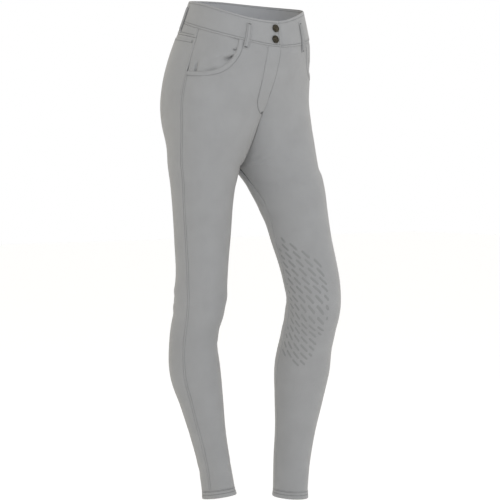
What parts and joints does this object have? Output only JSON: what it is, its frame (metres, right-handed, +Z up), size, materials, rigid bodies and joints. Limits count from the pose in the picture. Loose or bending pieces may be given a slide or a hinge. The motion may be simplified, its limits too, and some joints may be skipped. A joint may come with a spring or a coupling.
{
  "type": "riding breeches",
  "caption": "Close-fitting stretch riding breeches held in the form of a walking wearer, with a curved waistband, fly, scoop and patch pockets and silicone knee grip",
  "frame": {"origin": "middle of the waist opening, where the wearer carries the garment", "axes": "+Z up the body, the front faces -Y, the wearer's left is at +X"},
  "size_m": [0.3218, 0.3013, 1.0264],
  "materials": {
    "cloth": "smooth close-woven stretch cloth, light cool grey, matt with a faint sheen",
    "waist_lining": "smooth matt grey inner layer of the waistband",
    "grip_print": "soft silicone printed on the cloth in raised dashes, slightly darker than it and a little shiny",
    "snap_metal": "dark antique brass, worn bright on the rim"
  },
  "bodies": {
    "root": {"waistband_right": "cloth", "waistband_left": "cloth", "front_right": "cloth", "front_left": "cloth", "pocket_facing_right": "cloth", "pocket_facing_left": "cloth", "back_yoke_right": "cloth", "back_yoke_left": "cloth", "back_right": "cloth", "back_left": "cloth", "back_pocket_right": "cloth", "back_pocket_left": "cloth", "hem_right": "cloth", "hem_left": "cloth", "fly_placket": "cloth", "belt_loop_front_right": "cloth", "belt_loop_side_right": "cloth", "belt_loop_center_back": "cloth", "belt_loop_side_left": "cloth", "belt_loop_front_left": "cloth", "waistband_facing_right": "waist_lining", "waistband_facing_left": "waist_lining", "snap_cap_1": "snap_metal", "snap_cap_2": "snap_metal"}
  },
  "joints": []
}
